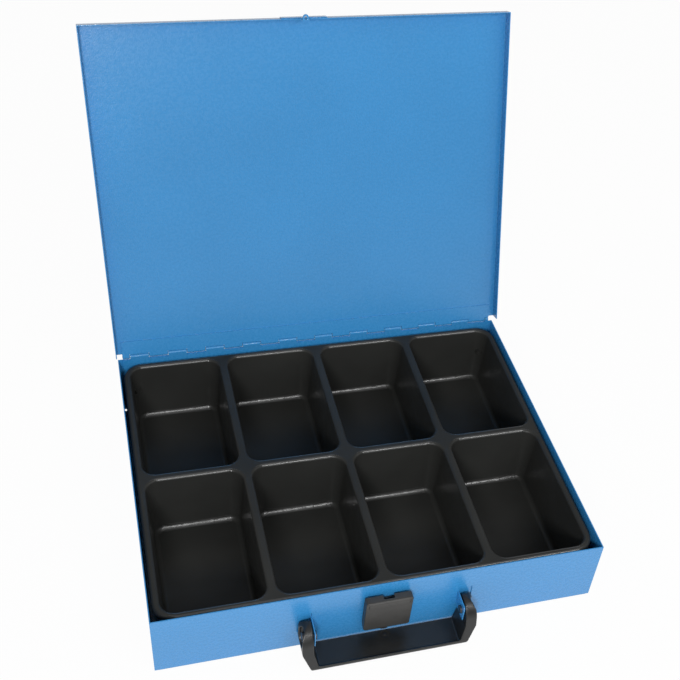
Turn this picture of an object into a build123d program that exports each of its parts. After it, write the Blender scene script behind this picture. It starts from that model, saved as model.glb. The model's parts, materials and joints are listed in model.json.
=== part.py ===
from build123d import *
import os
from math import cos, radians, tan

os.makedirs("parts", exist_ok=True)

# Compartment storage box of folded sheet steel, in millimetres.
# X is the width, the front with latch and handle is at -Y, +Z is up.
# The origin is the centre of the flat underside. The lid is drawn open on its stop.

# Case
case_width = 340.0
case_depth = 272.0
case_height = 60.0
sheet = 0.8
bottom_bend = 1.6
corner_relief = 2.6

# Lid
lid_side_clearance = 0.5
lid_front_clearance = 0.6
lid_rim = 10.0
lid_open_angle = 108.0
lid_bend = 1.2
lid_rear_gap = 3.0

# Piano hinge
pin_diameter = 2.2
pin_clearance = 0.05
leaf_thickness = 0.8
lid_leaf_width = 12.5
case_leaf_width = 11.0
hinge_end_gap = 4.0
knuckle_pitch = 16.1
first_knuckle = 6.2
knuckle_gap = 0.35
knuckle_lift = 0.4
leaf_tab_gap = 0.5

# Lid catch
catch_width = 36.6
catch_inset = 1.0
tongue_width = 6.0
tongue_wall_gap = 0.3
tongue_below_flange = 5.3
loop_reach = 5.2
loop_width = 4.6
loop_bar = 1.3
loop_height = 1.3

# Tray
tray_thickness = 1.0
tray_wall_gap = 2.4
tray_rim_drop = 3.4
tray_floor_gap = 0.3
tray_skirt = 7.0
tray_columns = 4
tray_rows = 2
tray_edge_land = 5.5
tray_ridge = 7.0
pocket_radius = 11.0
pocket_floor_fillet = 4.5
pocket_draft = 3.5
rim_rounding = 2.6
lug_radius = 3.0
lug_height = 3.0
lug_depth = 22.0

# Handle and its ears
ear_spacing = 112.0
ear_reach = 16.0
ear_height = 15.2
ear_flange_lap = 2.5
ear_corner = 1.2
window_gap = 0.5
window_bottom = 19.0
window_top = 39.4
pivot_height = 27.4
pivot_reach = 10.75
handle_wall_gap = 0.6
handle_depth = 24.4
handle_floor_gap = 0.6
handle_ear_gap = 0.8
swing_clearance = 0.35
shoulder = (19.4, 26.0)
brow = (13.6, 33.6)
tip = (4.6, 36.6)
cheek_thickness = 8.8
cheek_crown = 8.0
arm_thickness = 5.0
arm_taper_start = 9.6
grip_half_width = 59.5
grip_corner_radius = 4.0
grip_edge_radius = 2.6
grip_height = 4.7
grip_floor = 2.6
grip_lip = 1.8
trough_radius = 1.6
gate_mark_reach = 5.0
gate_mark_radius = 3.4
gate_mark_depth = 0.6
gate_nub_radius = 0.9
recess_depth = 3.2
recess_tips = ((7.0, 34.0), (10.75, 18.6))
recess_sides = ((16.9, 27.0), (3.6, 27.4))
pivot_pin_diameter = 5.0
pivot_pin_clearance = 0.05
pivot_head_radius = 3.7
pivot_head_height = 2.2
pivot_end_diameter = 6.4
pivot_end_length = 1.2
pivot_end_gap = 0.2

# Latch
latch_width = 35.6
latch_bottom = 14.3
latch_top = 50.0
latch_ajar_angle = 3.0
latch_base_thickness = 1.5
latch_base_top = 44.5
base_side_gap = 0.4
flap_face = 6.8
flap_lip = 0.8
flap_lip_height = 5.0
flap_skin = 1.2
flap_top_skin = 1.7
flap_back_gap = 0.4
flap_edge = 0.7
flap_corner = 2.2
flap_pivot_rise = 4.4
flap_pivot_reach = 2.9
hinge_cheek_width = 1.8
hinge_cheek_radius = 2.0
latch_pin_diameter = 1.8
latch_pin_clearance = 0.05
loop_overlap = 1.0
notch_clearance = 1.0
rivet_heights = (9.3, 34.0)
rivet_diameter = 3.2
rivet_head_diameter = 5.6
rivet_head_height = 0.8
rivet_tab_radius = 4.2
rivet_tab_gap = 0.6
wall_hole_clearance = 0.05

half_width = case_width / 2
half_depth = case_depth / 2
front = -half_depth
hinge_length = case_width - 2 * hinge_end_gap

bore_radius = pin_diameter / 2 + pin_clearance
hinge_radius = bore_radius + leaf_thickness
axis_y = half_depth - sheet - leaf_thickness + hinge_radius
axis_z = case_height + knuckle_lift + hinge_radius
lid_underside = axis_z - hinge_radius + leaf_thickness
lid_width = case_width + 2 * (lid_side_clearance + sheet)
lid_front = front - lid_front_clearance - sheet
lid_rear = axis_y - lid_rear_gap
lid_top = lid_underside + sheet
lid_bottom = lid_top - lid_rim


def block(x_range, y_range, z_range):
    """Box between two corners."""
    size = [high - low for low, high in (x_range, y_range, z_range)]
    middle = [(high + low) / 2 for low, high in (x_range, y_range, z_range)]
    return Pos(*middle) * Box(*size)


def edges_along(shape, axis):
    return shape.edges().filter_by(axis)


def cylinder_x(radius, x_range, y, z):
    """Round bar along X."""
    length = x_range[1] - x_range[0]
    middle = (x_range[0] + x_range[1]) / 2
    return Pos(middle, y, z) * Rot(0, 90, 0) * Cylinder(radius, length)


def cylinder_y(radius, y_range, x, z):
    """Round bar along Y."""
    length = y_range[1] - y_range[0]
    middle = (y_range[0] + y_range[1]) / 2
    return Pos(x, middle, z) * Rot(90, 0, 0) * Cylinder(radius, length)


def from_side(points, x_range):
    """Solid with the outline of (y, z) points, between two X values."""
    outline = Polyline(*[(x_range[0], y, z) for y, z in points], close=True)
    return extrude(make_face(outline), amount=x_range[1] - x_range[0], dir=(1, 0, 0))


def opened(shape):
    """Turn a piece of the closed lid to the open position."""
    return shape.rotate(Axis((0, axis_y, axis_z), (1, 0, 0)), -lid_open_angle)


def make_case():
    """Folded pan with the holes that carry the latch and the handle ears."""
    outer = block((-half_width, half_width), (front, half_depth), (0, case_height))
    outer = fillet(outer.faces().sort_by(Axis.Z)[0].edges(), bottom_bend)
    inner = block(
        (-half_width + sheet, half_width - sheet),
        (front + sheet, half_depth - sheet),
        (sheet, case_height + sheet),
    )
    inner = fillet(inner.faces().sort_by(Axis.Z)[0].edges(), bottom_bend - sheet)
    case = outer - inner
    for x in (-half_width, half_width):
        for y in (front, half_depth):
            case -= Pos(x, y, 0) * Box(2 * corner_relief, 2 * corner_relief, corner_relief)
    for side in (-1, 1):
        inner_edge = side * (ear_spacing / 2 - wall_hole_clearance)
        low, high = sorted((inner_edge, side * (cheek_outer + window_gap)))
        window = block((low, high), (front - sheet, front + 2 * sheet), (window_bottom, window_top))
        case -= fillet(edges_along(window, Axis.Y), ear_corner / 2)
    for z in rivet_heights:
        case -= cylinder_y(
            rivet_diameter / 2 + wall_hole_clearance, (front - sheet, front + 2 * sheet), 0, z
        )
    return case


def make_lid():
    """Shallow folded lid with a rim on the front and both sides."""
    half = lid_width / 2
    outer = block((-half, half), (lid_front, lid_rear), (lid_bottom, lid_top))
    top_edges = outer.faces().sort_by(Axis.Z)[-1].edges()
    outer = fillet(top_edges.sort_by(Axis.Y)[:-1], lid_bend)
    inner = block(
        (-half + sheet, half - sheet),
        (lid_front + sheet, lid_rear + sheet),
        (lid_bottom - sheet, lid_underside),
    )
    inner_edges = inner.faces().sort_by(Axis.Z)[-1].edges()
    inner = fillet(inner_edges.sort_by(Axis.Y)[:-1], lid_bend - sheet)
    return opened(outer - inner)


def make_catch():
    """Plate welded to the lid's front rim, with a tongue and a loop."""
    plate_back = lid_front
    plate_front = lid_front - sheet
    plate = block(
        (-catch_width / 2, catch_width / 2),
        (plate_front, plate_back),
        (lid_bottom + catch_inset, lid_top - lid_bend - catch_inset),
    )
    tongue_back = front - tongue_wall_gap
    tongue_front = tongue_back - sheet
    step = plate_back - tongue_back
    tongue = from_side(
        [
            (plate_back, lid_bottom + catch_inset),
            (plate_back, lid_bottom - 0.5 * sheet),
            (tongue_back, lid_bottom - 0.5 * sheet + step),
            (tongue_back, loop_bottom),
            (tongue_front, loop_bottom),
            (tongue_front, lid_bottom - sheet + step),
            (plate_front, lid_bottom - sheet),
            (plate_front, lid_bottom + catch_inset),
        ],
        (-tongue_width / 2, tongue_width / 2),
    )
    loop_centre = front - loop_reach + loop_width / 2
    outer = block(
        (-loop_width / 2, loop_width / 2),
        (loop_centre, tongue_front),
        (loop_bottom, loop_bottom + loop_height),
    )
    outer += Pos(0, loop_centre, loop_bottom + loop_height / 2) * Cylinder(
        loop_width / 2, loop_height
    )
    slot_half = loop_width / 2 - loop_bar
    slot = block(
        (-slot_half, slot_half),
        (loop_centre, tongue_front),
        (loop_bottom, loop_bottom + loop_height),
    )
    slot += Pos(0, loop_centre, loop_bottom + loop_height / 2) * Cylinder(slot_half, loop_height)
    return opened(plate + tongue + (outer - slot))


def knuckle_spans():
    """Start and end of each knuckle along X, first and last cut short."""
    start = -hinge_length / 2
    spans = [(start, start + first_knuckle)]
    while spans[-1][1] < hinge_length / 2:
        begin = spans[-1][1]
        spans.append((begin, min(begin + knuckle_pitch, hinge_length / 2)))
    return spans


def knuckles(spans):
    """Rolled tubes round the pin, one for each span."""
    rolled = []
    for begin, end in spans:
        tube = cylinder_x(
            hinge_radius, (begin + knuckle_gap / 2, end - knuckle_gap / 2), axis_y, axis_z
        )
        rolled.append(tube - cylinder_x(bore_radius, (begin, end), axis_y, axis_z))
    return rolled


def make_case_leaf():
    """Leaf inside the rear wall, with knuckles that roll over the pin."""
    leaf_front = axis_y - hinge_radius
    leaf = block(
        (-hinge_length / 2, hinge_length / 2),
        (leaf_front, leaf_front + leaf_thickness),
        (case_height - case_leaf_width, case_height - leaf_tab_gap),
    )
    spans = knuckle_spans()[1::2]
    for (begin, end), tube in zip(spans, knuckles(spans)):
        tab = block(
            (begin + knuckle_gap / 2, end - knuckle_gap / 2),
            (leaf_front, leaf_front + leaf_thickness),
            (case_height - 2 * leaf_tab_gap, axis_z),
        )
        leaf += tube + (tab - cylinder_x(bore_radius, (begin, end), axis_y, axis_z))
    return leaf


def make_lid_leaf():
    """Leaf under the lid, with the knuckles between those of the case."""
    leaf_bottom = lid_underside - leaf_thickness
    leaf = block(
        (-hinge_length / 2, hinge_length / 2),
        (axis_y - lid_leaf_width - hinge_radius, axis_y - hinge_radius - leaf_tab_gap),
        (leaf_bottom, lid_underside),
    )
    spans = knuckle_spans()[0::2]
    for (begin, end), tube in zip(spans, knuckles(spans)):
        tab = block(
            (begin + knuckle_gap / 2, end - knuckle_gap / 2),
            (axis_y - hinge_radius - 2 * leaf_tab_gap, axis_y),
            (leaf_bottom, lid_underside),
        )
        leaf += tube + (tab - cylinder_x(bore_radius, (begin, end), axis_y, axis_z))
    return opened(leaf)


def make_hinge_pin():
    return cylinder_x(pin_diameter / 2, (-hinge_length / 2, hinge_length / 2), axis_y, axis_z)


def rounded_block(width, depth, radius, z_range):
    face = Pos(0, 0, z_range[0]) * RectangleRounded(width, depth, radius)
    return extrude(face, amount=z_range[1] - z_range[0])


def pocket(x, y, grow):
    """Tapered hollow of one compartment, made larger all round by grow."""
    inset = (tray_top - tray_floor_top) * tan(radians(pocket_draft))
    top_face = Pos(x, y, tray_top) * RectangleRounded(
        pocket_width + 2 * grow, pocket_depth + 2 * grow, pocket_radius + grow
    )
    bottom_face = Pos(x, y, tray_floor_top - grow) * RectangleRounded(
        pocket_width + 2 * (grow - inset),
        pocket_depth + 2 * (grow - inset),
        pocket_radius + grow - inset,
    )
    shape = loft([bottom_face, top_face])
    floor_edges = shape.faces().sort_by(Axis.Z)[0].edges()
    return fillet(floor_edges, pocket_floor_fillet + grow)


def tray_form(grow):
    """Upper face of the tray as a solid, or the face one sheet below it."""
    top = tray_top - grow
    form = rounded_block(
        tray_width - 2 * grow,
        tray_depth - 2 * grow,
        pocket_radius + tray_edge_land - grow,
        (tray_bottom - grow, top),
    )
    for x, y in pocket_places:
        form -= pocket(x, y, grow)
    top_face = form.faces().filter_by(Axis.Z).sort_by(Axis.Z)[-1]
    return fillet(top_face.edges(), rim_rounding - grow)


def make_tray():
    """Thermoformed insert: a thin sheet drawn into rows and columns of compartments."""
    below_skirt = rounded_block(
        tray_width + tray_thickness,
        tray_depth + tray_thickness,
        pocket_radius + tray_edge_land + tray_thickness / 2,
        (tray_bottom - tray_thickness, tray_top - tray_skirt),
    )
    for x, y in pocket_places:
        below_skirt -= pocket(x, y, tray_thickness)
    tray = tray_form(0) - tray_form(tray_thickness) - below_skirt
    corner_x = pocket_places[-1][0] + pocket_width / 2
    corner_y = pocket_places[-1][1] + pocket_depth / 2
    reach = pocket_radius * (1 - cos(radians(45))) + lug_depth * tan(radians(pocket_draft))
    for side_x in (-1, 1):
        for side_y in (-1, 1):
            place = (side_x * (corner_x - reach), side_y * (corner_y - reach))
            tray += Pos(*place, tray_top - lug_depth) * Cylinder(lug_radius, lug_height)
    return tray


def make_ear(side):
    """Angle bracket: a tab through the front wall and a flange that closes the window behind."""
    inner_face = side * ear_spacing / 2
    outer_face = inner_face + side * sheet
    low, high = sorted((inner_face, outer_face))
    tab = block((low, high), (front - ear_reach, front + 2 * sheet), (ear_bottom, ear_top))
    tab_edges = edges_along(tab, Axis.X).group_by(Axis.Y)[0]
    tab = fillet(tab_edges, ear_corner)
    flange_end = side * (cheek_outer + window_gap + ear_flange_lap)
    flange = block(
        sorted((inner_face, flange_end)),
        (front + sheet, front + 2 * sheet),
        (window_bottom - ear_flange_lap, window_top + ear_flange_lap),
    )
    hole = cylinder_x(
        pivot_pin_diameter / 2 + pivot_pin_clearance,
        (low - sheet, high + sheet),
        pivot_y,
        pivot_height,
    )
    return tab + flange - hole


def reach_point(reach, z, x=0):
    """Point at a distance in front of the front wall."""
    return (x, front - reach, z)


def handle_front_view():
    """Two cheeks, two leaning arms and the grip, as one flat frame seen from the front."""
    taper_top = pivot_height - arm_taper_start
    grip_inner = grip_half_width - arm_thickness
    right = [
        (grip_inner, handle_floor_gap + grip_height),
        (cheek_inner, taper_top),
        (cheek_inner, tip[1]),
        (cheek_outer, tip[1]),
        (cheek_outer, taper_top),
        (grip_half_width, handle_floor_gap),
    ]
    left = [(-x, z) for x, z in reversed(right)]
    outline = Polyline(*[reach_point(handle_reach, z, x) for x, z in right + left], close=True)
    frame = extrude(make_face(outline), amount=handle_reach, dir=(0, 1, 0))
    frame = fillet(edges_along(frame, Axis.Y).group_by(Axis.Z)[0], grip_corner_radius)
    cheek_tops = edges_along(frame, Axis.Y).group_by(Axis.Z)[-1].sort_by(Axis.X)
    return fillet([cheek_tops[0], cheek_tops[-1]], cheek_crown)


def handle_side_view():
    """Upright rear edge and leaning front edge under a top that slopes back to a tip."""
    x = -half_width
    rear = handle_wall_gap
    foot = handle_floor_gap
    outline = Line(reach_point(rear, foot, x), reach_point(rear, tip[1], x))
    outline += Line(reach_point(rear, tip[1], x), reach_point(*tip, x))
    outline += ThreePointArc(reach_point(*tip, x), reach_point(*brow, x), reach_point(*shoulder, x))
    outline += Line(reach_point(*shoulder, x), reach_point(handle_reach, foot, x))
    outline += Line(reach_point(handle_reach, foot, x), reach_point(rear, foot, x))
    side = extrude(make_face(outline), amount=case_width, dir=(1, 0, 0))
    side = fillet(edges_along(side, Axis.X).group_by(Axis.Z)[0], grip_edge_radius)
    above_pivot = (pivot_height, tip[1] + sheet)
    corner = block((-half_width, half_width), (pivot_y, front), above_pivot)
    swing_radius = pivot_reach + sheet - swing_clearance
    corner -= cylinder_x(swing_radius, (-half_width, half_width), pivot_y, pivot_height)
    return side - corner


def recess(low, high):
    """Lens-shaped hollow between two X values."""
    top, bottom = recess_tips
    front_side, rear_side = recess_sides
    outline = ThreePointArc(
        reach_point(*top, low), reach_point(*front_side, low), reach_point(*bottom, low)
    )
    outline += ThreePointArc(
        reach_point(*bottom, low), reach_point(*rear_side, low), reach_point(*top, low)
    )
    return extrude(make_face(outline), amount=high - low, dir=(1, 0, 0))


def make_handle():
    """Moulded bail with hollowed cheeks and a grip with a raised front lip."""
    bail = handle_front_view() & handle_side_view()
    trough_half = grip_half_width - arm_thickness
    floor = handle_floor_gap + grip_floor
    trough = block(
        (-trough_half, trough_half),
        (front - handle_reach + grip_lip, front),
        (floor, floor + 2 * grip_height),
    )
    foot_edge = edges_along(trough, Axis.X).group_by(Axis.Z)[0].sort_by(Axis.Y)[0]
    bail -= fillet(foot_edge, trough_radius)
    gate_mark = Cylinder(gate_mark_radius, 2 * gate_mark_depth) - Cylinder(
        gate_nub_radius, 2 * gate_mark_depth
    )
    bail -= Pos(0, front - gate_mark_reach, floor) * gate_mark
    for side in (-1, 1):
        low, high = sorted((side * (cheek_outer - recess_depth), side * cheek_outer))
        bail -= recess(low, high)
        low, high = sorted((side * (cheek_inner - handle_ear_gap), side * cheek_outer))
        bail -= cylinder_x(pivot_pin_diameter / 2, (low, high), pivot_y, pivot_height)
    return bail


def make_handle_pin(side):
    """Pin held in the cheek and turning in the ear, headed in the cheek's hollow."""
    seat = cheek_outer - recess_depth
    end = ear_spacing / 2 - pivot_end_gap
    spans = [
        (pivot_head_radius, seat, seat + pivot_head_height),
        (pivot_pin_diameter / 2, end, seat),
        (pivot_end_diameter / 2, end - pivot_end_length, end),
    ]
    parts = [
        cylinder_x(radius, sorted((side * near, side * far)), pivot_y, pivot_height)
        for radius, near, far in spans
    ]
    return parts[0] + parts[1] + parts[2]


def make_latch_base():
    """Plate riveted to the front wall, with two cheeks that carry the flap's pin."""
    half = latch_width / 2 - flap_skin - base_side_gap
    plate_bottom = flap_pivot_z + hinge_cheek_radius
    base = block((-half, half), (front - latch_base_thickness, front), (plate_bottom, latch_base_top))
    base += block(
        (-rivet_tab_radius, rivet_tab_radius),
        (front - latch_base_thickness, front),
        (rivet_heights[0], plate_bottom),
    )
    base += cylinder_y(
        rivet_tab_radius, (front - latch_base_thickness, front), 0, rivet_heights[0]
    )
    for side in (-1, 1):
        low, high = sorted((side * half, side * (half - hinge_cheek_width)))
        base += block(
            (low, high),
            (flap_pivot_y, front),
            (flap_pivot_z - hinge_cheek_radius, plate_bottom),
        )
        base += cylinder_x(hinge_cheek_radius, (low, high), flap_pivot_y, flap_pivot_z)
    base -= cylinder_x(
        latch_pin_diameter / 2 + latch_pin_clearance, (-half, half), flap_pivot_y, flap_pivot_z
    )
    for z in rivet_heights:
        base -= cylinder_y(
            rivet_diameter / 2 + wall_hole_clearance, (front - latch_base_thickness, front), 0, z
        )
    return base


def ajar(shape):
    """Swing a piece of the fastened flap out to where the lid passes it."""
    return shape.rotate(Axis((0, flap_pivot_y, flap_pivot_z), (1, 0, 0)), latch_ajar_angle)


def make_latch_flap():
    """Hollow cover that swings on its pin; its top edge hooks over the lid's loop."""
    half = latch_width / 2
    face = front - flap_face
    back = front - flap_back_gap
    cover = block((-half, half), (face, back), (latch_bottom, latch_top))
    cover = fillet(edges_along(cover, Axis.Y), flap_corner)
    cover = fillet(cover.faces().sort_by(Axis.Y)[0].edges(), flap_edge)
    lip = block(
        (-half + flap_corner, half - flap_corner),
        (face - flap_lip, face + flap_skin),
        (latch_top - flap_edge - flap_lip_height, latch_top - flap_edge),
    )
    cover += fillet(lip.faces().sort_by(Axis.Y)[0].edges(), flap_lip * 0.9)
    inner_half = half - flap_skin
    cover -= block(
        (-inner_half, inner_half),
        (face + flap_skin, back),
        (latch_bottom + flap_skin, latch_top - flap_top_skin),
    )
    notch_half = tongue_width / 2 + notch_clearance
    cover -= block(
        (-notch_half, notch_half),
        (front - loop_reach + loop_overlap, back),
        (latch_top - 2 * flap_top_skin, latch_top),
    )
    tab_half = rivet_tab_radius + rivet_tab_gap
    cover -= block(
        (-tab_half, tab_half),
        (flap_pivot_y - latch_base_thickness, back),
        (latch_bottom, flap_pivot_z),
    )
    heel = (back - flap_pivot_y) / 2
    cover -= from_side(
        [
            (back, flap_pivot_z),
            (flap_pivot_y, flap_pivot_z - heel - latch_pin_diameter),
            (flap_pivot_y, latch_bottom),
            (back, latch_bottom),
        ],
        (-half, half),
    )
    cover -= cylinder_x(latch_pin_diameter / 2, (-half, half), flap_pivot_y, flap_pivot_z)
    return ajar(cover)


def make_latch_pin():
    half = latch_width / 2
    return cylinder_x(latch_pin_diameter / 2, (-half, half), flap_pivot_y, flap_pivot_z)


def make_latch_rivets():
    """Rivets through the latch base and the wall, headed on both sides."""
    rivets = []
    for z in rivet_heights:
        outer = front - latch_base_thickness
        inner = front + sheet
        rivet = cylinder_y(rivet_diameter / 2, (outer, inner), 0, z)
        rivet += cylinder_y(rivet_head_diameter / 2, (outer - rivet_head_height, outer), 0, z)
        rivet += cylinder_y(rivet_head_diameter / 2, (inner, inner + rivet_head_height), 0, z)
        rivets.append(rivet)
    return Compound(children=rivets)


loop_bottom = lid_bottom - tongue_below_flange
flap_pivot_y = front - flap_pivot_reach
flap_pivot_z = latch_bottom + flap_pivot_rise

pivot_y = front - pivot_reach
handle_reach = handle_wall_gap + handle_depth
ear_bottom = pivot_height - ear_height / 2
ear_top = pivot_height + ear_height / 2
cheek_inner = ear_spacing / 2 + sheet + handle_ear_gap
cheek_outer = cheek_inner + cheek_thickness

tray_width = case_width - 2 * (sheet + tray_wall_gap)
tray_depth = case_depth - 2 * (sheet + tray_wall_gap)
tray_top = case_height - tray_rim_drop
tray_bottom = sheet + tray_floor_gap
tray_floor_top = tray_bottom + tray_thickness
pocket_width = (tray_width - 2 * tray_edge_land - (tray_columns - 1) * tray_ridge) / tray_columns
pocket_depth = (tray_depth - 2 * tray_edge_land - (tray_rows - 1) * tray_ridge) / tray_rows
pocket_places = [
    (
        (column - (tray_columns - 1) / 2) * (pocket_width + tray_ridge),
        (row - (tray_rows - 1) / 2) * (pocket_depth + tray_ridge),
    )
    for column in range(tray_columns)
    for row in range(tray_rows)
]

nodes = {
    "case_body": make_case(),
    "lid": make_lid(),
    "lid_catch": make_catch(),
    "hinge_leaf_case": make_case_leaf(),
    "hinge_leaf_lid": make_lid_leaf(),
    "hinge_pin": make_hinge_pin(),
    "compartment_tray": make_tray(),
    "handle_ear_left": make_ear(-1),
    "handle_ear_right": make_ear(1),
    "carry_handle": make_handle(),
    "handle_pin_left": make_handle_pin(-1),
    "handle_pin_right": make_handle_pin(1),
    "latch_base": make_latch_base(),
    "latch_flap": make_latch_flap(),
    "latch_pin": make_latch_pin(),
    "latch_rivets": make_latch_rivets(),
}

for name, shape in nodes.items():
    export_step(shape, f"parts/{name}.step")
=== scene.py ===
"""Looks of the compartment storage box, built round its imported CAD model."""

import json
from math import cos, radians, sin

import bmesh
import bpy
from mathutils import Matrix, Vector

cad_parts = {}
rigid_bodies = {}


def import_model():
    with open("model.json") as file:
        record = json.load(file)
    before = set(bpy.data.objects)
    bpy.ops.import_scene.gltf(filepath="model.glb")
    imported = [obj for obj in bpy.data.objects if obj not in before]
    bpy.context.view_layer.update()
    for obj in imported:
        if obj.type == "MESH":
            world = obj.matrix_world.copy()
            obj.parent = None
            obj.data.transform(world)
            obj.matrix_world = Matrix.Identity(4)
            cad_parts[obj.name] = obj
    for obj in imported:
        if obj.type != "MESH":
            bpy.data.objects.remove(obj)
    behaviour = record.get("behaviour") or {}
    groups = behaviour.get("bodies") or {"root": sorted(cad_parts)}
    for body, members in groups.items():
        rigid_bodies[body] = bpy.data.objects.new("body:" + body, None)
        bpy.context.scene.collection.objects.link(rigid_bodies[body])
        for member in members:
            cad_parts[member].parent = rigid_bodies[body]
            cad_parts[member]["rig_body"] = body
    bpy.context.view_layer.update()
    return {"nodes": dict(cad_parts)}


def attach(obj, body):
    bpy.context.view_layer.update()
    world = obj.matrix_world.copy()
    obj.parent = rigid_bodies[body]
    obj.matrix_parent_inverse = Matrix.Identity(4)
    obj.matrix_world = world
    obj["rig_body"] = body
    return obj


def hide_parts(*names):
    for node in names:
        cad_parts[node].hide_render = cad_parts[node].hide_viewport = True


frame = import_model()

bl_info = {
    "name": "Compartment storage box",
    "version": (1, 0, 0),
    "blender": (4, 5, 0),
    "location": "3D View > Sidebar > Storage box",
    "description": "Dresses the packed storage box with its finishes, moulded pieces and stage",
    "category": "Object",
}

# Modelling: copies of CAD nodes are merged and their flat faces joined. Lengths are in metres.
MERGE_DISTANCE = 0.000002
SAME_PLANE = radians(0.5)
PAINTED_NODES = ("case_body", "lid", "lid_catch", "handle_ear_left", "handle_ear_right")
HINGE_LEAVES = ("hinge_leaf_lid", "hinge_leaf_case")
FASTENER_NODES = ("handle_pin_left", "handle_pin_right", "latch_pin", "latch_rivets")

# Parts of a face's unit normal that tell the tray's roundings along X from its other faces
SIDEWAYS = 0.1
WALL_DRAFT = 0.12
UPRIGHT = 0.97

# Finishes of the metal pieces
FASTENER_COLOUR = (0.12, 0.115, 0.115)
FASTENER_ROUGHNESS = 0.42
HINGE_PIN_ROUGHNESS = 0.38
LATCH_GRAIN = 900

# Stage: each lamp's name, place, size and the setting that holds its power
LAMPS = (
    ("key_lamp", (-0.42, -1.25, 0.9), (0.26, 0.26), "key_power"),
    ("strip_lamp", (0.45, -1.0, 1.1), (0.9, 0.12), "strip_power"),
    ("fill_lamp", (1.2, -0.5, 0.8), (0.7, 0.7), "fill_power"),
)
LAMP_AIM = (0, 0, 0.08)
SENSOR_WIDTH = 36
CAMERA_CLIP = (0.05, 50)
FLOOR_DROP = 0.0002
FLOOR_WHITE_SHARE = 0.96


# Sizes and colours a user may change


class StageSettings(bpy.types.PropertyGroup):
    place: bpy.props.FloatVectorProperty(
        name="Camera place", description="Where the camera stands",
        default=(-0.168859, -0.581025, 0.701440), subtype="TRANSLATION", unit="LENGTH",
    )
    heading: bpy.props.FloatProperty(
        name="Heading", description="Turn of the camera's view from +Y towards +X",
        default=radians(20.264), subtype="ANGLE",
    )
    dip: bpy.props.FloatProperty(
        name="Dip", description="How far the camera looks down",
        default=radians(42.791), subtype="ANGLE",
    )
    roll: bpy.props.FloatProperty(
        name="Roll", description="Turn of the camera about its own view",
        default=radians(7.266), subtype="ANGLE",
    )
    lens: bpy.props.FloatProperty(
        name="Lens", description="Focal length for a 36 mm sensor", default=57.443, min=1,
    )
    shift: bpy.props.FloatVectorProperty(
        name="Shift", description="Sideways and upward shift of the frame",
        size=2, default=(-0.101243, 0.059692),
    )
    floor_colour: bpy.props.FloatVectorProperty(
        name="Floor colour", description="Colour of the floor under the box",
        default=(0.86, 0.86, 0.86), subtype="COLOR", min=0, max=1,
    )
    floor_size: bpy.props.FloatProperty(
        name="Floor size", description="Side of the square floor", default=8.0, unit="LENGTH",
    )
    key_power: bpy.props.FloatProperty(
        name="Key lamp", description="Power of the lamp in front", default=11.5, unit="POWER",
    )
    strip_power: bpy.props.FloatProperty(
        name="Strip lamp", description="Power of the long lamp in front on the right",
        default=5.0, unit="POWER",
    )
    fill_power: bpy.props.FloatProperty(
        name="Fill lamp", description="Power of the lamp on the right", default=2.0, unit="POWER",
    )
    sky: bpy.props.FloatProperty(
        name="Sky", description="Strength of the even light from all round", default=0.46, min=0,
    )


class SteelSettings(bpy.types.PropertyGroup):
    colour: bpy.props.FloatVectorProperty(
        name="Paint colour", description="Blue of the stoved paint",
        default=(0.034, 0.25, 0.565), subtype="COLOR", min=0, max=1,
    )
    roughness: bpy.props.FloatProperty(
        name="Paint roughness", description="Roughness of the paint", default=0.27, min=0, max=1,
    )
    peel: bpy.props.FloatProperty(
        name="Hammered grain", description="Height of the fine hammered grain",
        default=0.0001, unit="LENGTH",
    )
    edge: bpy.props.FloatProperty(
        name="Sheet edge", description="Rounding that the paint gives the sheet's edges",
        default=0.00022, unit="LENGTH",
    )


class TraySettings(bpy.types.PropertyGroup):
    colour: bpy.props.FloatVectorProperty(
        name="Tray colour", description="Colour of the drawn plastic sheet",
        default=(0.025, 0.0255, 0.024), subtype="COLOR", min=0, max=1,
    )
    roughness: bpy.props.FloatProperty(
        name="Tray roughness", description="Roughness of the drawn sheet", default=0.36, min=0, max=1,
    )


class HandleSettings(bpy.types.PropertyGroup):
    colour: bpy.props.FloatVectorProperty(
        name="Handle colour", description="Colour of the moulded handle",
        default=(0.0125, 0.013, 0.013), subtype="COLOR", min=0, max=1,
    )
    roughness: bpy.props.FloatProperty(
        name="Handle roughness", description="Roughness of the handle", default=0.34, min=0, max=1,
    )
    grain: bpy.props.FloatProperty(
        name="Mesh grain", description="Cell of the mesh that rounds the moulded edges",
        default=0.0005, unit="LENGTH",
    )


class LatchSettings(bpy.types.PropertyGroup):
    colour: bpy.props.FloatVectorProperty(
        name="Latch colour", description="Colour of the latch flap",
        default=(0.036, 0.035, 0.033), subtype="COLOR", min=0, max=1,
    )
    roughness: bpy.props.FloatProperty(
        name="Latch roughness", description="Roughness of the latch flap", default=0.42, min=0, max=1,
    )
    grain: bpy.props.FloatProperty(
        name="Mesh grain", description="Cell of the mesh that rounds the flap's edges",
        default=0.0003, unit="LENGTH",
    )
    steel: bpy.props.FloatVectorProperty(
        name="Pin colour", description="Colour of the hinge's bare steel",
        default=(0.2, 0.19, 0.18), subtype="COLOR", min=0, max=1,
    )


# Helpers for modelling


def deselect():
    for o in bpy.context.selected_objects:
        o.select_set(False)


def take(piece):
    """Select one piece alone and make it active."""
    deselect()
    piece.select_set(True)
    bpy.context.view_layer.objects.active = piece


def edit(piece, mode):
    """Open one piece for editing with nothing selected."""
    take(piece)
    bpy.ops.object.mode_set(mode="EDIT")
    bpy.ops.mesh.select_mode(type=mode)
    bpy.ops.mesh.select_all(action="DESELECT")


def leave_edit():
    bpy.ops.object.mode_set(mode="OBJECT")


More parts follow.
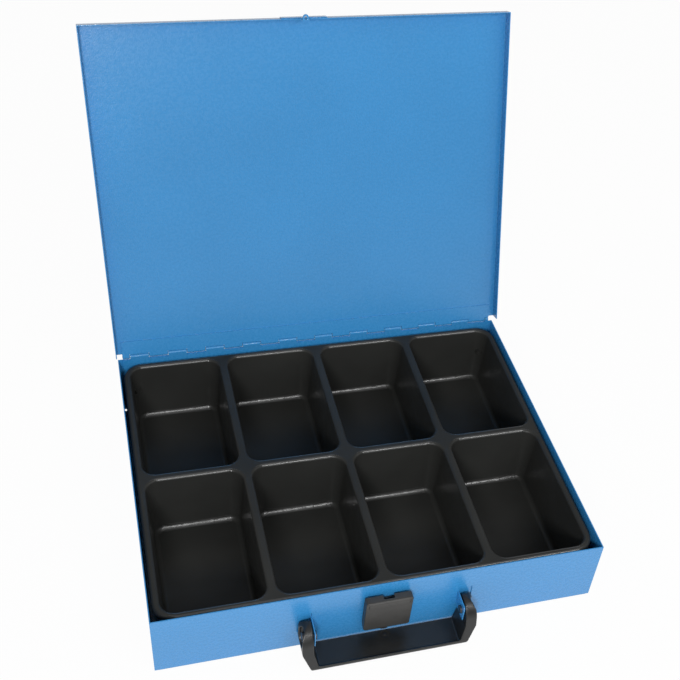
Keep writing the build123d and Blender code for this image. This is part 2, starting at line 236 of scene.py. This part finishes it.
def pick_faces(piece, wanted):
    """Select the faces that a test accepts, in a piece that is open for editing."""
    mesh = bmesh.from_edit_mesh(piece.data)
    found = [face for face in mesh.faces if wanted(face)]
    for face in found:
        face.select_set(True)
    bmesh.update_edit_mesh(piece.data)
    if not found:
        raise RuntimeError(f"{piece.name}: no faces found")


def settle(piece):
    """Put a piece's place into its mesh, with its object at the origin."""
    take(piece)
    bpy.ops.object.transform_apply(location=True, rotation=True, scale=True)


def modify(piece, kind, **values):
    """Add a modifier, set it and apply it."""
    take(piece)
    modifier = piece.modifiers.new(kind.title(), kind)
    for name, value in values.items():
        setattr(modifier, name, value)
    bpy.ops.object.modifier_apply(modifier=modifier.name)


def smooth(piece, degrees):
    """Smooth the roundings and keep the flat faces flat between them."""
    take(piece)
    bpy.ops.object.shade_smooth_by_angle(angle=radians(degrees))
    modify(piece, "WEIGHTED_NORMAL", weight=50, keep_sharp=True)


def copy_of(node, name):
    """A merged copy of a CAD node, to be finished as the piece that shows."""
    piece = frame["nodes"][node].copy()
    piece.data = piece.data.copy()
    piece.name = name
    for key in list(piece.keys()):
        del piece[key]
    piece.parent = None
    piece.matrix_world = Matrix.Identity(4)
    bpy.context.scene.collection.objects.link(piece)
    edit(piece, "EDGE")
    bpy.ops.mesh.select_all(action="SELECT")
    bpy.ops.mesh.remove_doubles(threshold=MERGE_DISTANCE)
    bpy.ops.mesh.dissolve_limited(angle_limit=SAME_PLANE)
    leave_edit()
    if piece.data.has_custom_normals:
        bpy.ops.mesh.customdata_custom_splitnormals_clear()
    return piece


def body_of(node):
    return frame["nodes"][node]["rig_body"]


def dress(piece, material):
    piece.data.materials.clear()
    piece.data.materials.append(material)


# Helpers for materials


class Nodes:
    """The node tree of a new material."""

    def __init__(self, name):
        self.material = bpy.data.materials.new(name)
        self.material.use_nodes = True
        self.tree = self.material.node_tree
        self.tree.nodes.clear()
        self.output = self.add("ShaderNodeOutputMaterial")
        self.place = self.add("ShaderNodeTexCoord").outputs["Object"]

    def add(self, kind, **values):
        node = self.tree.nodes.new(kind)
        for name, value in values.items():
            if name in node.inputs:
                node.inputs[name].default_value = value
            else:
                setattr(node, name, value)
        return node

    def join(self, source, target):
        self.tree.links.new(source, target)

    def shader(self, **values):
        shader = self.add("ShaderNodeBsdfPrincipled")
        for name, value in values.items():
            shader.inputs[name].default_value = value
        self.join(shader.outputs["BSDF"], self.output.inputs["Surface"])
        return shader

    def noise(self, scale, detail=2.0, rough=0.5):
        texture = self.add("ShaderNodeTexNoise")
        texture.inputs["Scale"].default_value = scale
        texture.inputs["Detail"].default_value = detail
        texture.inputs["Roughness"].default_value = rough
        self.join(self.place, texture.inputs["Vector"])
        return texture.outputs["Fac"]

    def spread(self, value, low, high):
        """Stretch the middle of a noise to a range."""
        ranged = self.add("ShaderNodeMapRange")
        ranged.inputs["From Min"].default_value = 0.3
        ranged.inputs["From Max"].default_value = 0.7
        ranged.inputs["To Min"].default_value = low
        ranged.inputs["To Max"].default_value = high
        self.join(value, ranged.inputs["Value"])
        return ranged.outputs["Result"]

    def blend(self, value, first, second):
        """Colour that goes from first to second with a value from 0 to 1."""
        ramp = self.add("ShaderNodeValToRGB")
        ramp.color_ramp.elements[0].color = (*first, 1)
        ramp.color_ramp.elements[1].color = (*second, 1)
        self.join(value, ramp.inputs["Fac"])
        return ramp.outputs["Color"]

    def bump(self, height, distance, strength, under=None):
        bump = self.add("ShaderNodeBump")
        bump.inputs["Strength"].default_value = strength
        bump.inputs["Distance"].default_value = distance
        self.join(height, bump.inputs["Height"])
        if under is not None:
            self.join(under, bump.inputs["Normal"])
        return bump.outputs["Normal"]


def shade(colour, amount):
    return tuple(max(0.0, min(1.0, c * amount)) for c in colour)


def blue_paint(settings):
    """Stoved paint with a fine hammered grain."""
    n = Nodes("blue_paint")
    base = n.shader(Metallic=0.0)
    base.inputs["Specular IOR Level"].default_value = 0.6
    base.inputs["Coat Weight"].default_value = 0.3
    base.inputs["Coat Roughness"].default_value = 0.08
    colour = tuple(settings.colour)
    drift = n.spread(n.noise(9, 3), 0, 1)
    n.join(n.blend(drift, shade(colour, 0.96), shade(colour, 1.05)), base.inputs["Base Color"])
    n.join(n.spread(n.noise(420, 2), settings.roughness - 0.04, settings.roughness + 0.05),
           base.inputs["Roughness"])
    grain = n.bump(n.noise(950, 1, 0.5), settings.peel, 0.9)
    ripple = n.bump(n.noise(160, 1), settings.peel, 0.4, grain)
    n.join(ripple, base.inputs["Normal"])
    n.join(ripple, base.inputs["Coat Normal"])
    return n.material


def tray_plastic(name, settings, gloss):
    """Drawn sheet: satin on its flats, glossier where it is stretched round the tool's edges."""
    n = Nodes(name)
    base = n.shader()
    base.inputs["Specular IOR Level"].default_value = 0.22 + 0.6 * gloss
    base.inputs["Coat Weight"].default_value = gloss
    base.inputs["Coat Roughness"].default_value = 0.2
    colour = tuple(settings.colour)
    drift = n.spread(n.noise(14, 3), 0, 1)
    n.join(n.blend(drift, shade(colour, 0.85), shade(colour, 1.2)), base.inputs["Base Color"])
    n.join(n.spread(n.noise(60, 4), settings.roughness - 0.05, settings.roughness + 0.07),
           base.inputs["Roughness"])
    grain = n.bump(n.noise(1500, 2), 0.00002, 0.5)
    n.join(n.bump(n.noise(45, 2), 0.00012, 0.35, grain), base.inputs["Normal"])
    return n.material


def moulded_plastic(name, colour, roughness, grain=1300):
    """Injection-moulded plastic with a fine even grain."""
    n = Nodes(name)
    base = n.shader()
    base.inputs["Specular IOR Level"].default_value = 0.5
    colour = tuple(colour)
    drift = n.spread(n.noise(80, 3), 0, 1)
    n.join(n.blend(drift, shade(colour, 0.88), shade(colour, 1.14)), base.inputs["Base Color"])
    n.join(n.spread(n.noise(240, 2), roughness - 0.05, roughness + 0.06), base.inputs["Roughness"])
    n.join(n.bump(n.noise(grain, 2, 0.6), 0.00003, 0.6), base.inputs["Normal"])
    return n.material


def bare_steel(name, colour, roughness):
    """Dull drawn wire and rolled sheet, brushed along X."""
    n = Nodes(name)
    base = n.shader(Metallic=1.0)
    colour = tuple(colour)
    stretch = n.add("ShaderNodeMapping")
    stretch.inputs["Scale"].default_value = (0.08, 1, 1)
    n.join(n.place, stretch.inputs["Vector"])
    lines = n.add("ShaderNodeTexNoise")
    lines.inputs["Scale"].default_value = 2600
    lines.inputs["Detail"].default_value = 3
    n.join(stretch.outputs["Vector"], lines.inputs["Vector"])
    stain = n.spread(n.noise(70, 4), 0, 1)
    n.join(n.blend(stain, shade(colour, 0.75), shade(colour, 1.25)), base.inputs["Base Color"])
    n.join(n.spread(lines.outputs["Fac"], roughness - 0.06, roughness + 0.1),
           base.inputs["Roughness"])
    n.join(n.bump(lines.outputs["Fac"], 0.00001, 0.5), base.inputs["Normal"])
    return n.material


# Operators: the stage first, then each group of pieces


class STORAGEBOX_OT_stage(bpy.types.Operator):
    """Set the camera, the lamps and the pale floor"""

    bl_idname = "storagebox.stage"
    bl_label = "Camera, lamps and floor"

    def execute(self, context):
        settings = context.scene.storage_stage
        self.camera(settings)
        self.lamps(settings)
        self.floor(settings)
        self.world(settings)
        context.scene.view_settings.view_transform = "Standard"
        return {"FINISHED"}

    def camera(self, settings):
        data = bpy.data.cameras.new("camera")
        camera = bpy.data.objects.new("camera", data)
        bpy.context.scene.collection.objects.link(camera)
        bpy.context.scene.camera = camera
        heading, dip, roll = settings.heading, settings.dip, settings.roll
        ahead = Vector((sin(heading) * cos(dip), cos(heading) * cos(dip), -sin(dip)))
        level = Vector((cos(heading), -sin(heading), 0))
        upward = level.cross(ahead)
        side = level * cos(roll) + upward * sin(roll)
        top = -level * sin(roll) + upward * cos(roll)
        turn = Matrix((side, top, -ahead)).transposed()
        camera.matrix_world = Matrix.Translation(settings.place) @ turn.to_4x4()
        data.sensor_width = SENSOR_WIDTH
        data.lens = settings.lens
        data.shift_x, data.shift_y = settings.shift
        data.clip_start, data.clip_end = CAMERA_CLIP

    def lamp(self, name, place, size, power):
        data = bpy.data.lights.new(name, "AREA")
        data.shape = "RECTANGLE"
        data.size, data.size_y = size
        data.energy = power
        lamp = bpy.data.objects.new(name, data)
        bpy.context.scene.collection.objects.link(lamp)
        lamp.location = place
        lamp.rotation_mode = "QUATERNION"
        lamp.rotation_quaternion = (Vector(LAMP_AIM) - Vector(place)).to_track_quat("-Z", "Y")

    def lamps(self, settings):
        for name, place, size, power in LAMPS:
            self.lamp(name, place, size, getattr(settings, power))

    def floor(self, settings):
        deselect()
        bpy.ops.mesh.primitive_plane_add(
            size=settings.floor_size, location=(0, 0, -FLOOR_DROP))
        floor = bpy.context.active_object
        floor.name = "floor"
        settle(floor)
        n = Nodes("floor")
        lit = n.add("ShaderNodeBsdfDiffuse", Color=(*settings.floor_colour, 1))
        white = n.add("ShaderNodeEmission", Color=(1, 1, 1, 1), Strength=1.0)
        mix = n.add("ShaderNodeMixShader")
        n.join(self.seen(n, FLOOR_WHITE_SHARE), mix.inputs["Fac"])
        n.join(lit.outputs["BSDF"], mix.inputs[1])
        n.join(white.outputs["Emission"], mix.inputs[2])
        n.join(mix.outputs["Shader"], n.output.inputs["Surface"])
        dress(floor, n.material)

    def seen(self, n, share):
        """A share for rays from the camera, reflections and clear pieces, and 0 for light."""
        path = n.add("ShaderNodeLightPath")
        first = n.add("ShaderNodeMath", operation="MAXIMUM")
        second = n.add("ShaderNodeMath", operation="MAXIMUM")
        scaled = n.add("ShaderNodeMath", operation="MULTIPLY")
        n.join(path.outputs["Is Camera Ray"], first.inputs[0])
        n.join(path.outputs["Is Glossy Ray"], first.inputs[1])
        n.join(first.outputs[0], second.inputs[0])
        n.join(path.outputs["Is Transmission Ray"], second.inputs[1])
        n.join(second.outputs[0], scaled.inputs[0])
        scaled.inputs[1].default_value = share
        return scaled.outputs[0]

    def world(self, settings):
        world = bpy.data.worlds.new("soft_white")
        bpy.context.scene.world = world
        world.use_nodes = True
        tree = world.node_tree
        tree.nodes.clear()
        output = tree.nodes.new("ShaderNodeOutputWorld")
        light = tree.nodes.new("ShaderNodeBackground")
        light.inputs["Strength"].default_value = settings.sky
        white = tree.nodes.new("ShaderNodeBackground")
        white.inputs["Color"].default_value = (1, 1, 1, 1)
        mix = tree.nodes.new("ShaderNodeMixShader")
        path = tree.nodes.new("ShaderNodeLightPath")
        tree.links.new(path.outputs["Is Camera Ray"], mix.inputs["Fac"])
        tree.links.new(light.outputs["Background"], mix.inputs[1])
        tree.links.new(white.outputs["Background"], mix.inputs[2])
        tree.links.new(mix.outputs["Shader"], output.inputs["Surface"])


class STORAGEBOX_OT_steel(bpy.types.Operator):
    """Paint the folded steel and soften its edges"""

    bl_idname = "storagebox.steel"
    bl_label = "Painted steel and hinge"

    def execute(self, context):
        settings = context.scene.storage_steel
        paint = blue_paint(settings)
        for node in PAINTED_NODES:
            piece = copy_of(node, f"{node}_painted")
            modify(piece, "BEVEL", width=settings.edge, segments=2, limit_method="ANGLE",
                   angle_limit=radians(40), use_clamp_overlap=True)
            smooth(piece, 50)
            dress(piece, paint)
            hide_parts(node)
            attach(piece, body_of(node))
        for node in HINGE_LEAVES:
            dress(frame["nodes"][node], paint)
        steel = bare_steel(
            "hinge_steel", context.scene.storage_latch.steel, HINGE_PIN_ROUGHNESS)
        dress(frame["nodes"]["hinge_pin"], steel)
        return {"FINISHED"}


class STORAGEBOX_OT_tray(bpy.types.Operator):
    """Finish the compartment tray drawn from one sheet"""

    bl_idname = "storagebox.tray"
    bl_label = "Compartment tray"

    def execute(self, context):
        settings = context.scene.storage_tray
        tray = copy_of("compartment_tray", "drawn_tray")
        smooth(tray, 40)
        dress(tray, tray_plastic("tray_plastic", settings, 0.0))
        tray.data.materials.append(tray_plastic("tray_plastic_stretched", settings, 1.0))
        self.stretched(tray)
        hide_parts("compartment_tray")
        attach(tray, "tray")
        return {"FINISHED"}

    def stretched(self, tray):
        """Give the roundings along X the glossier finish. Walls lean by their draft only."""
        edit(tray, "FACE")
        pick_faces(tray, lambda face: abs(face.normal.x) < SIDEWAYS
                   and WALL_DRAFT < abs(face.normal.y) < UPRIGHT)
        tray.active_material_index = 1
        bpy.ops.object.material_slot_assign()
        leave_edit()


class STORAGEBOX_OT_handle(bpy.types.Operator):
    """Round the moulded handle and finish its pins"""

    bl_idname = "storagebox.handle"
    bl_label = "Carrying handle"

    def execute(self, context):
        settings = context.scene.storage_handle
        plastic = moulded_plastic("handle_plastic", settings.colour, settings.roughness)
        handle = copy_of("carry_handle", "moulded_handle")
        modify(handle, "REMESH", mode="VOXEL", voxel_size=settings.grain)
        modify(handle, "SMOOTH", factor=0.5, iterations=8)
        smooth(handle, 60)
        dress(handle, plastic)
        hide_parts("carry_handle")
        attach(handle, "handle")
        dress(frame["nodes"]["latch_base"], plastic)
        steel = bare_steel("fastener_steel", FASTENER_COLOUR, FASTENER_ROUGHNESS)
        for node in FASTENER_NODES:
            dress(frame["nodes"][node], steel)
        return {"FINISHED"}


class STORAGEBOX_OT_latch(bpy.types.Operator):
    """Round the latch flap"""

    bl_idname = "storagebox.latch"
    bl_label = "Latch flap"

    def execute(self, context):
        settings = context.scene.storage_latch
        flap = copy_of("latch_flap", "moulded_flap")
        modify(flap, "REMESH", mode="VOXEL", voxel_size=settings.grain)
        modify(flap, "SMOOTH", factor=0.5, iterations=8)
        smooth(flap, 60)
        plastic = moulded_plastic(
            "latch_plastic", settings.colour, settings.roughness, LATCH_GRAIN)
        dress(flap, plastic)
        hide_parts("latch_flap")
        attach(flap, "latch")
        return {"FINISHED"}


class STORAGEBOX_PT_panel(bpy.types.Panel):
    """Lists the steps that dress the storage box"""

    bl_idname = "STORAGEBOX_PT_panel"
    bl_label = "Storage box"
    bl_space_type = "VIEW_3D"
    bl_region_type = "UI"
    bl_category = "Storage box"

    def draw(self, context):
        for operator in OPERATORS:
            self.layout.operator(operator.bl_idname)


SETTINGS = {
    "storage_stage": StageSettings,
    "storage_steel": SteelSettings,
    "storage_tray": TraySettings,
    "storage_handle": HandleSettings,
    "storage_latch": LatchSettings,
}
OPERATORS = (
    STORAGEBOX_OT_stage,
    STORAGEBOX_OT_steel,
    STORAGEBOX_OT_tray,
    STORAGEBOX_OT_handle,
    STORAGEBOX_OT_latch,
)


def register():
    for kind in (*SETTINGS.values(), *OPERATORS, STORAGEBOX_PT_panel):
        bpy.utils.register_class(kind)
    for name, kind in SETTINGS.items():
        setattr(bpy.types.Scene, name, bpy.props.PointerProperty(type=kind))


def unregister():
    for name in SETTINGS:
        delattr(bpy.types.Scene, name)
    for kind in (STORAGEBOX_PT_panel, *reversed(OPERATORS), *SETTINGS.values()):
        bpy.utils.unregister_class(kind)


def main():
    deselect()
    register()
    for operator in OPERATORS:
        family, name = operator.bl_idname.split(".")
        getattr(getattr(bpy.ops, family), name)()
    bpy.context.view_layer.update()


if __name__ == "__main__":
    main()
